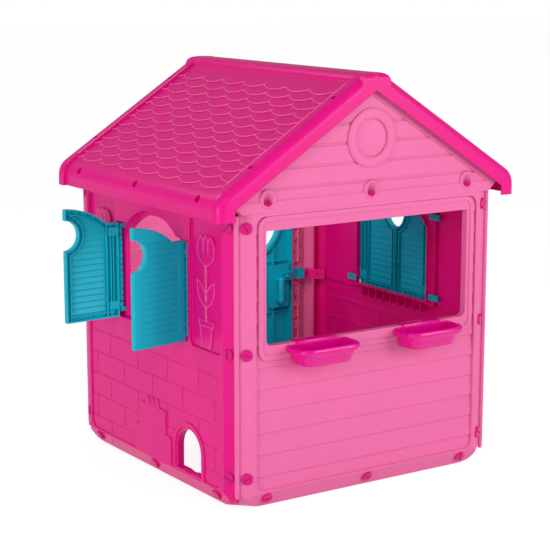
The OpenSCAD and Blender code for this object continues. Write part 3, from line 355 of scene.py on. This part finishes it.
def copies_joined(model, matrices):
    """Copy a model to each place, each copy with its own mesh, and join them."""
    made = []
    for matrix in matrices:
        twin = bpy.data.objects.new(model.name, model.data.copy())
        twin.data.transform(matrix)
        bpy.context.collection.objects.link(twin)
        made.append(twin)
    bpy.data.objects.remove(model)
    return joined(made)


def drawn_up(points, stations):
    """Draw a filled ring up through stations, each a height and a radius."""
    nothing_selected()
    height, radius = stations[0]
    bpy.ops.mesh.primitive_circle_add(vertices=points, radius=radius, location=(0, 0, height),
                                      fill_type="NGON")
    column = bpy.context.object
    bpy.ops.object.transform_apply(location=True, rotation=True, scale=True)
    bpy.ops.object.mode_set(mode="EDIT")
    bpy.ops.mesh.select_all(action="SELECT")
    for z, r in stations[1:]:
        bpy.ops.mesh.extrude_region_move(TRANSFORM_OT_translate={"value": (0, 0, z - height)})
        bpy.ops.transform.resize(value=(r / radius, r / radius, 1), center_override=(0, 0, z))
        height, radius = z, r
    bpy.ops.object.mode_set(mode="OBJECT")
    return column


def mirrored(side):
    """Leave a model where it is for side 1, and mirror it across the house for side -1."""
    return Matrix.Scale(side, 4, (1, 0, 0))


# %% [markdown]
# ## Rims of the shingles
# The roof is one moulding, and each shingle's lower edge ends in a thin raised lip that
# catches the light. The solid roof already has the overlapping shingles, so the lip alone
# is added. One lip is a six-sided wire: a small circle spun about the centre of the
# shingle's arc, and a second circle drawn straight up for the side towards its neighbour.

# %% One shingle's lip
SLOPE = math.radians(32.7)
SLOPES_MEET = 1.312
ON_SLOPE = Matrix.Translation((0, MID, SLOPES_MEET)) @ Matrix.Rotation(SLOPE, 4, "Y")
ROWS, FIRST_ROW, FIELD_HALF = 13, 0.105, 0.462
ROW, TILE, LOBE = 0.0392, 0.126, 0.020
LIFT, LIFT_FROM, SUNK = 0.003, ROW + 0.008, 0.0005
ARC_R = ((TILE / 2) ** 2 + LOBE ** 2) / (2 * LOBE)
HALF_ARC = math.asin(TILE / 2 / ARC_R)
LIP_SIDES, LIP_R, SIDE_R, SIDE_GAP = 6, 0.0019, 0.0012, 0.003


def wire_start(radius, x, rotation):
    """A small open ring at the shingle's corner, ready in edit mode."""
    bpy.ops.mesh.primitive_circle_add(vertices=LIP_SIDES, radius=radius, location=(x, -TILE / 2, 0),
                                      rotation=rotation)
    bpy.ops.object.transform_apply(location=True, rotation=True, scale=True)
    bpy.ops.object.mode_set(mode="EDIT")
    return bpy.context.object


def shingle_lip():
    nothing_selected()
    arc = wire_start(LIP_R, -LOBE, (math.pi / 2, 0, -HALF_ARC))
    bpy.ops.mesh.spin(steps=9, angle=2 * HALF_ARC, center=(-ARC_R, 0, 0), axis=(0, 0, -1))
    bpy.ops.object.mode_set(mode="OBJECT")
    if max(v.co.y for v in arc.data.vertices) < 0.02:
        raise RuntimeError("the lip was spun the wrong way")
    side = wire_start(SIDE_R, SIDE_GAP - ROW, (0, math.pi / 2, 0))
    bpy.ops.mesh.extrude_region_move(TRANSFORM_OT_translate={"value": (ROW - LOBE - SIDE_GAP, 0, 0)})
    bpy.ops.object.mode_set(mode="OBJECT")
    lip = joined([arc, side])
    for corner in lip.data.vertices:
        corner.co.z += LIFT * (corner.co.x + LIFT_FROM) / LIFT_FROM - SUNK
    return lip


def roof_lips(name, side):
    places = []
    for row in range(ROWS):
        for column in range(-4, 5):
            shift = Matrix.Translation((FIRST_ROW + (row + 1) * ROW, (column + (row % 2) / 2) * TILE, 0))
            places.append(mirrored(side) @ ON_SLOPE @ shift)
    lips = copies_joined(shingle_lip(), places)
    bpy.ops.object.mode_set(mode="EDIT")
    for end in (-1, 1):
        bpy.ops.mesh.select_all(action="SELECT")
        bpy.ops.mesh.bisect(plane_co=(0, MID + end * FIELD_HALF, 0), plane_no=(0, end, 0),
                            clear_outer=True)
    bpy.ops.object.mode_set(mode="OBJECT")
    # The lips take the paler rose, a painted highlight on each shingle's edge.
    return settle(lips, name, painted_highlight_rose, "house")


for name, side in (("left_shingle_lips", -1), ("right_shingle_lips", 1)):
    print(name, len(roof_lips(name, side).data.polygons), "faces")

# %% [markdown]
# ## Beads along the roof's verges
# A slim bead runs down the inner side of each rolled verge, where the photograph has a
# bright line. It is a small ring drawn out with a soft tip at both ends, laid along the
# slope, and copied to the four verges.

# %% Verge beads
BEAD = [(0.085, 0.0012), (0.087, 0.0024), (0.092, 0.0030), (0.25, 0.0030), (0.42, 0.0030),
        (0.590, 0.0030), (0.596, 0.0024), (0.598, 0.0012)]
BEAD_FROM_MID, BEAD_RISE = 0.4695, 0.0094
down_slope = Matrix.Rotation(math.pi / 2, 4, "Y")
verges = [mirrored(side) @ ON_SLOPE @ Matrix.Translation((0, v, BEAD_RISE)) @ down_slope
          for side in (-1, 1) for v in (-BEAD_FROM_MID, BEAD_FROM_MID)]
# The beads take the paler rose, a painted highlight along the verges.
print(settle(copies_joined(drawn_up(10, BEAD), verges), "verge_beads", painted_highlight_rose, "house").name)

# %% [markdown]
# ## Flower boxes
# Each box is a thin, shiny tub with a rolled lip, hung over the sill by a tongue. The solid
# box has the right size but crisp edges, so a finer tub replaces it. A flat sheet gets its
# two front corners rounded, and is then drawn up ring by ring: each extrusion is widened or
# narrowed about the wall side, so that the back stays flat against the wall. The tongue is
# a sheet on the sill that is drawn down into it, and gets a thickness and soft edges.

# %% Draw up one tub
BACK = -0.0403
TUB_FOOT, TUB_HALF, TUB_DEEP = 0.440, 81.0, 70.0
FRONT_CORNER_R = 0.030
# Height in metres, half width and depth in millimetres: up the outside, over the lip, and
# down the inside to the floor.
RINGS = [
    (0.4412, 86.0, 73.0), (0.4440, 88.6, 75.6), (0.4650, 95.0, 82.0), (0.4760, 98.4, 85.4),
    (0.4775, 101.0, 88.0), (0.4785, 107.0, 93.5), (0.4820, 111.0, 96.4), (0.4885, 112.8, 97.8),
    (0.4950, 111.8, 97.0), (0.4985, 108.6, 94.2), (0.5000, 104.5, 90.4), (0.4990, 101.0, 87.4),
    (0.4955, 99.6, 86.0), (0.4700, 92.0, 79.0), (0.4480, 85.5, 72.0), (0.4440, 82.0, 68.5),
    (0.4432, 74.0, 60.0),
]
# The ring at which the inside also leaves the wall, to give the back its thickness.
OFF_THE_WALL, OFF_SHARE = 11, 0.955
TONGUE_SIZE, TONGUE_Y, TONGUE_Z = (0.150, 0.0316, 1), 0.0148, 0.5067
TONGUE_THICK, TONGUE_SOFT = 0.0028, 0.0008
DROP_AT_WALL, DROP_INSIDE = -0.036, -0.020


def tub_bowl(x):
    nothing_selected()
    bpy.ops.mesh.primitive_plane_add(size=1, location=(x, BACK - TUB_DEEP / 2000, TUB_FOOT))
    bowl = bpy.context.object
    bowl.scale = (2 * TUB_HALF / 1000, TUB_DEEP / 1000, 1)
    bpy.ops.object.transform_apply(location=True, rotation=True, scale=True)
    bpy.ops.object.mode_set(mode="EDIT")
    bpy.ops.mesh.select_all(action="DESELECT")
    sheet = bmesh.from_edit_mesh(bowl.data)
    for corner in sheet.verts:
        corner.select_set(corner.co.y < BACK - 0.05)
    sheet.select_flush_mode()
    bmesh.update_edit_mesh(bowl.data)
    bpy.ops.mesh.bevel(offset=FRONT_CORNER_R, segments=9, affect="VERTICES")
    bpy.ops.mesh.select_all(action="SELECT")
    height, half_wide, deep = TUB_FOOT, TUB_HALF, TUB_DEEP
    for step, (z, w, d) in enumerate(RINGS):
        bpy.ops.mesh.extrude_region_move(TRANSFORM_OT_translate={"value": (0, 0, z - height)})
        bpy.ops.transform.resize(value=(w / half_wide, d / deep, 1), center_override=(x, BACK, z))
        if step == OFF_THE_WALL:
            bpy.ops.transform.resize(value=(1, OFF_SHARE, 1), center_override=(x, BACK - d / 1000, z))
        height, half_wide, deep = z, w, d
    bpy.ops.object.mode_set(mode="OBJECT")
    return bowl


def sill_tongue(x):
    bpy.ops.mesh.primitive_plane_add(size=1, location=(x, BACK + TONGUE_Y, TONGUE_Z))
    tongue = bpy.context.object
    tongue.scale = TONGUE_SIZE
    bpy.ops.object.transform_apply(location=True, rotation=True, scale=True)
    bpy.ops.object.mode_set(mode="EDIT")
    for at_wall, drop in ((True, DROP_AT_WALL), (False, DROP_INSIDE)):
        bent = bmesh.from_edit_mesh(tongue.data)
        for edge in bent.edges:
            edge.select_set(False)
        for edge in bent.edges:
            y = [v.co.y for v in edge.verts]
            if max(y) < BACK and at_wall or min(y) > BACK + 0.03 and not at_wall:
                edge.select_set(True)
        bmesh.update_edit_mesh(tongue.data)
        bpy.ops.mesh.extrude_region_move(TRANSFORM_OT_translate={"value": (0, 0, drop)})
    bpy.ops.object.mode_set(mode="OBJECT")
    plate = tongue.modifiers.new("plate", "SOLIDIFY")
    plate.thickness, plate.offset = TONGUE_THICK, 0
    bpy.ops.object.modifier_apply(modifier="plate")
    soft = tongue.modifiers.new("soft_edges", "BEVEL")
    soft.width, soft.segments = TONGUE_SOFT, 2
    bpy.ops.object.modifier_apply(modifier="soft_edges")
    return tongue


def flower_tub(name, node, x):
    tub = settle(joined([tub_bowl(x), sill_tongue(x)]), name, glossy_rose, name.replace("tub", "box"))
    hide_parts(node)
    return tub


for name, node, x in (("left_tub", "flower_box_left", -0.203),
                      ("right_tub", "flower_box_right", 0.203)):
    print(name, len(flower_tub(name, node, x).data.polygons), "faces")

# %% [markdown]
# ## Corner posts
# Front and back panels meet the side panels at a mitre. On the real house a rounded edge of
# the lighter pink fills it and shows as a bright upright line. A ring of sixteen points is
# drawn up and closed to a soft tip at either end, and the post is copied to the corners.

# %% Posts in the four corners
POST = [(0.040, 0.004), (0.041, 0.0062), (0.060, 0.0076), (0.25, 0.0080), (0.50, 0.0080),
        (0.75, 0.0080), (0.900, 0.0080), (0.904, 0.0062), (0.905, 0.004)]
POST_X, POSTS_Y = 0.4785, (-0.0185, 0.9385)
corners = [Matrix.Translation((x, y, 0)) for x in (-POST_X, POST_X) for y in POSTS_Y]
print(settle(copies_joined(drawn_up(16, POST), corners), "corner_posts", light_pink, "house").name)

# %% [markdown]
# ## Hinge rolls of the shutters
# Between its two pins each shutter's edge is a row of short knuckles, and a thin web joins
# them to the leaf. They close the gap beside the leaf. One knuckle is modelled and copied
# up the hinge line, and the row is swung with the leaf, which is why it is drawn closed.

# %% A row of knuckles for each leaf
KNUCKLE = [(0.0, 0.0045), (0.0015, 0.0068), (0.0165, 0.0068), (0.018, 0.0045), (0.020, 0.0040)]
KNUCKLES, KNUCKLE_STEP, ROW_FOOT = 11, 0.0204, 0.5345
WEB_AT, WEB_SIZE, WEB_SOFT = (-0.009, 0, 0.646), (0.016, 0.004, 0.222), 0.0012
HINGE_X, HINGE_Y = 0.212, 0.009
WALL_HALF = 0.5
OPEN_FRONT, OPEN_REAR = 100, 87


def hinge_roll(name, body, side, open_turn, across):
    column = [Matrix.Translation((0, 0, ROW_FOOT + KNUCKLE_STEP * k)) for k in range(KNUCKLES)]
    row = copies_joined(drawn_up(12, KNUCKLE), column)
    bpy.ops.mesh.primitive_cube_add(size=1, location=WEB_AT)
    web = bpy.context.object
    web.scale = WEB_SIZE
    bpy.ops.object.transform_apply(location=True, rotation=True, scale=True)
    bpy.ops.object.mode_set(mode="EDIT")
    bpy.ops.mesh.bevel(offset=WEB_SOFT, segments=2)
    bpy.ops.object.mode_set(mode="OBJECT")
    row = joined([row, web])
    hung = Matrix.Translation((HINGE_X, HINGE_Y, 0)) @ Matrix.Rotation(math.radians(open_turn), 4, "Z")
    wall = (Matrix.Translation((0, MID, 0)) @ Matrix.Rotation(-math.pi / 2, 4, "Z")
            @ Matrix.Translation((0, -WALL_HALF, 0)))
    row.data.transform(mirrored(across) @ wall @ mirrored(side) @ hung)
    return settle(row, name, teal, body)


for name, body, side, turn, across in (
        ("left_front_hinge_roll", "left_front_leaf", 1, OPEN_FRONT, 1),
        ("left_rear_hinge_roll", "left_rear_leaf", -1, OPEN_REAR, 1),
        ("right_front_hinge_roll", "right_front_leaf", 1, 0, -1),
        ("right_rear_hinge_roll", "right_rear_leaf", -1, 0, -1)):
    print(hinge_roll(name, body, side, turn, across).name)

# %% [markdown]
# ## Rings and collars on the gables
# The round plate in the gable and the screw pockets below it have soft raised rims. Each is
# a small circle spun about its centre, flattened towards the wall. Back and front gable are
# the same moulding turned round, so each rim is made once and copied for the other side.

# %% Soft rims
GABLE_Y, PLATE_Z = -0.040, 1.107
POCKETS_X, POCKET_Z, COLLAR_SUNK = (-0.38, 0, 0.38), 0.948, 0.001


def soft_rim(across, thick, proud):
    """A ring of radius across, whose section is thick in its plane and proud out of it."""
    nothing_selected()
    bpy.ops.mesh.primitive_circle_add(vertices=8, radius=thick, location=(across, 0, 0),
                                      rotation=(math.pi / 2, 0, 0))
    rim = bpy.context.object
    bpy.ops.object.transform_apply(location=True, rotation=True, scale=True)
    bpy.ops.object.mode_set(mode="EDIT")
    bpy.ops.mesh.spin(steps=48, angle=2 * math.pi, center=(0, 0, 0), axis=(0, 0, 1))
    bpy.ops.mesh.select_all(action="SELECT")
    bpy.ops.transform.resize(value=(1, 1, proud / thick), center_override=(0, 0, 0))
    bpy.ops.object.mode_set(mode="OBJECT")
    return rim


def on_both_gables(x, z, y):
    stood = Matrix.Translation((x, y, z)) @ Matrix.Rotation(math.pi / 2, 4, "X")
    turned = Matrix.Translation((0, 2 * MID, 0)) @ Matrix.Rotation(math.pi, 4, "Z")
    return [stood, turned @ stood]


rims = [copies_joined(soft_rim(0.0885, 0.0032, 0.0022), on_both_gables(0, PLATE_Z, GABLE_Y)),
        copies_joined(soft_rim(0.0615, 0.0030, 0.0020), on_both_gables(0, PLATE_Z, GABLE_Y))]
collars = [place for x in POCKETS_X for place in on_both_gables(x, POCKET_Z, GABLE_Y + COLLAR_SUNK)]
rims.append(copies_joined(soft_rim(0.0245, 0.0058, 0.0042), collars))
gable_rims = settle(joined(rims), "gable_rims", light_pink, "house")
print(len(gable_rims.data.polygons), "faces in the gable rims")

# %% [markdown]
# ## Filled brick joints
# On the shuttered sides the bricks are marked by joints so shallow that they show only
# where light grazes them, with a small bright dot where two of them cross. Strips with a
# slightly hollow face lie in the solid's joints, two millimetres deep, and half fill them.

# %% Joint strips and dots
COURSE, BRICK = 0.0755, 0.190
COURSES = [0.103 + COURSE * i for i in range(5)]
FIELD_END, UPRIGHT_END, UPRIGHT = 0.420, 0.418, 0.0706
PET = (0.226 - 0.098, 0.226 + 0.098)
PLANTER_TOP, PLANTER_STEP, PLANTER_FOOT_HALF, PLANTER_HALF = 0.228, 0.148, 0.121, 0.087
STRIP_WIDE, STRIP_THICK, STRIP_EDGE, STRIP_HOLLOW = 0.0049, 0.0012, 0.0014, 0.0003
DOT_R, DOT_LIFT = 0.0034, 0.0010
DOT = [(0, DOT_R), (0.0012, DOT_R * 0.82), (0.0019, DOT_R * 0.82 * 0.55)]
JOINT_FLOOR_X = -0.4940
ON_WALL = Matrix(((0, 0, -1, 0), (-1, 0, 0, 0), (0, 1, 0, 0), (0, 0, 0, 1)))


def side_face(across, x, z=0):
    """Stand a flat drawing on a side wall, with its x towards the front and its y upwards."""
    return mirrored(across) @ Matrix.Translation((x, MID, z)) @ ON_WALL


def joint_strip(length):
    nothing_selected()
    bpy.ops.mesh.primitive_plane_add(size=1)
    strip = bpy.context.object
    strip.scale = (length, STRIP_WIDE, 1)
    bpy.ops.object.transform_apply(location=True, rotation=True, scale=True)
    bpy.ops.object.mode_set(mode="EDIT")
    bpy.ops.mesh.extrude_region_move(TRANSFORM_OT_translate={"value": (0, 0, STRIP_THICK)})
    bpy.ops.mesh.inset(thickness=STRIP_EDGE)
    bpy.ops.transform.translate(value=(0, 0, -STRIP_HOLLOW))
    bpy.ops.object.mode_set(mode="OBJECT")
    return strip


def planter_half(z):
    return PLANTER_FOOT_HALF if z < PLANTER_STEP else PLANTER_HALF


def spans(z):
    """Where a level joint runs, between the planter, the pet door and the field's ends."""
    if z > PLANTER_TOP:
        return [(-FIELD_END, FIELD_END)]
    return [(-FIELD_END, -planter_half(z)), (planter_half(z), PET[0]), (PET[1], FIELD_END)]


def uprights():
    """The foot-to-head joints between two bricks, each as its place and its head's height."""
    for i, z in enumerate(COURSES):
        foot = z - COURSE
        for j in range(-3, 4):
            at = (j + ((i + 1) % 2) / 2) * BRICK
            low = foot < PLANTER_TOP
            if abs(at) < UPRIGHT_END and not (low and (abs(at) < planter_half(foot)
                                                       or PET[0] < at < PET[1])):
                yield at, z


def side_relief(name, across):
    face = side_face(across, JOINT_FLOOR_X)
    parts = []
    for z in COURSES:
        for start, end in spans(z):
            if end > start:
                middle = face @ Matrix.Translation(((start + end) / 2, z, 0))
                parts.append(copies_joined(joint_strip(end - start), [middle]))
    stood = Matrix.Rotation(math.pi / 2, 4, "Z")
    upright_places = [face @ Matrix.Translation((at, z - COURSE / 2, 0)) @ stood for at, z in uprights()]
    dot_places = [face @ Matrix.Translation((at, z, DOT_LIFT)) for at, z in uprights()]
    parts.append(copies_joined(joint_strip(UPRIGHT), upright_places))
    parts.append(copies_joined(drawn_up(8, DOT), dot_places))
    return settle(joined(parts), name, rose, "house")


for name, across in (("left_brick_joints", 1), ("right_brick_joints", -1)):
    print(name, len(side_relief(name, across).data.polygons), "faces")

# %% [markdown]
# ## Outlines of the potted flowers
# The recesses beside the shutters hold a flower in low relief, and its outline is a thin
# raised line. A line that wanders is easiest as a curve with a round bevel, which is made
# a mesh afterwards. One flower is drawn and copied to the four recesses.

# %% Draw the flower's outline
OUTLINE_R = 0.0013
FLOWER_FACE_X, FLOWER_FOOT, FLOWER_AT = -0.4925, 0.474, 0.329


def bow(start, end, out, count=9):
    """Points on a shallow bow between two points, out metres to its left."""
    a, b = Vector(start), Vector(end)
    away = Vector((a.y - b.y, b.x - a.x)).normalized()
    shares = [k / count for k in range(count + 1)]
    return [a.lerp(b, t) + away * out * 4 * t * (1 - t) for t in shares]


def flower_lines():
    """Pot, rim, stem, leaves and petals: the left half's lines, then the same mirrored."""
    half = [
        [(-0.034, 0.074), (-0.024, 0.008), (0.0, 0.008)],
        [(0.0, 0.074), (-0.040, 0.074), (-0.040, 0.090), (0.0, 0.090)],
        [(-0.004, 0.090), (-0.004, 0.132)],
        [(-0.004, 0.150), (-0.004, 0.262)],
        bow((-0.0014, 0.1317), (-0.0474, 0.2143), 0.019),
        bow((-0.0474, 0.2143), (-0.0014, 0.1317), 0.019),
        bow((0.0, 0.260), (-0.030, 0.352), 0.034),
        bow((-0.030, 0.352), (-0.015, 0.330), 0.002, 4),
        bow((-0.012, 0.300), (0.0, 0.357), 0.007),
    ]
    return half + [[(-x, z) for x, z in line] for line in half]


def flower_outline():
    nothing_selected()
    drawing = bpy.data.curves.new("flower_outline", "CURVE")
    drawing.dimensions = "3D"
    drawing.bevel_depth = OUTLINE_R
    drawing.bevel_resolution = 1
    drawing.use_fill_caps = True
    for line in flower_lines():
        spline = drawing.splines.new("POLY")
        spline.points.add(len(line) - 1)
        for point, (x, z) in zip(spline.points, line):
            point.co = (x, z, 0, 1)
    outline = bpy.data.objects.new("flower_outline", drawing)
    bpy.context.collection.objects.link(outline)
    outline.select_set(True)
    bpy.context.view_layer.objects.active = outline
    bpy.ops.object.convert(target="MESH")
    return bpy.context.object


places = [side_face(across, FLOWER_FACE_X, FLOWER_FOOT) @ Matrix.Translation((at, 0, 0))
          for across in (1, -1) for at in (-FLOWER_AT, FLOWER_AT)]
# The outlines take the paler rose, a painted highlight on the flower's lines.
print(settle(copies_joined(flower_outline(), places), "flower_outlines", painted_highlight_rose, "house").name)

# %% Finish
bpy.ops.object.select_all(action="DESELECT")
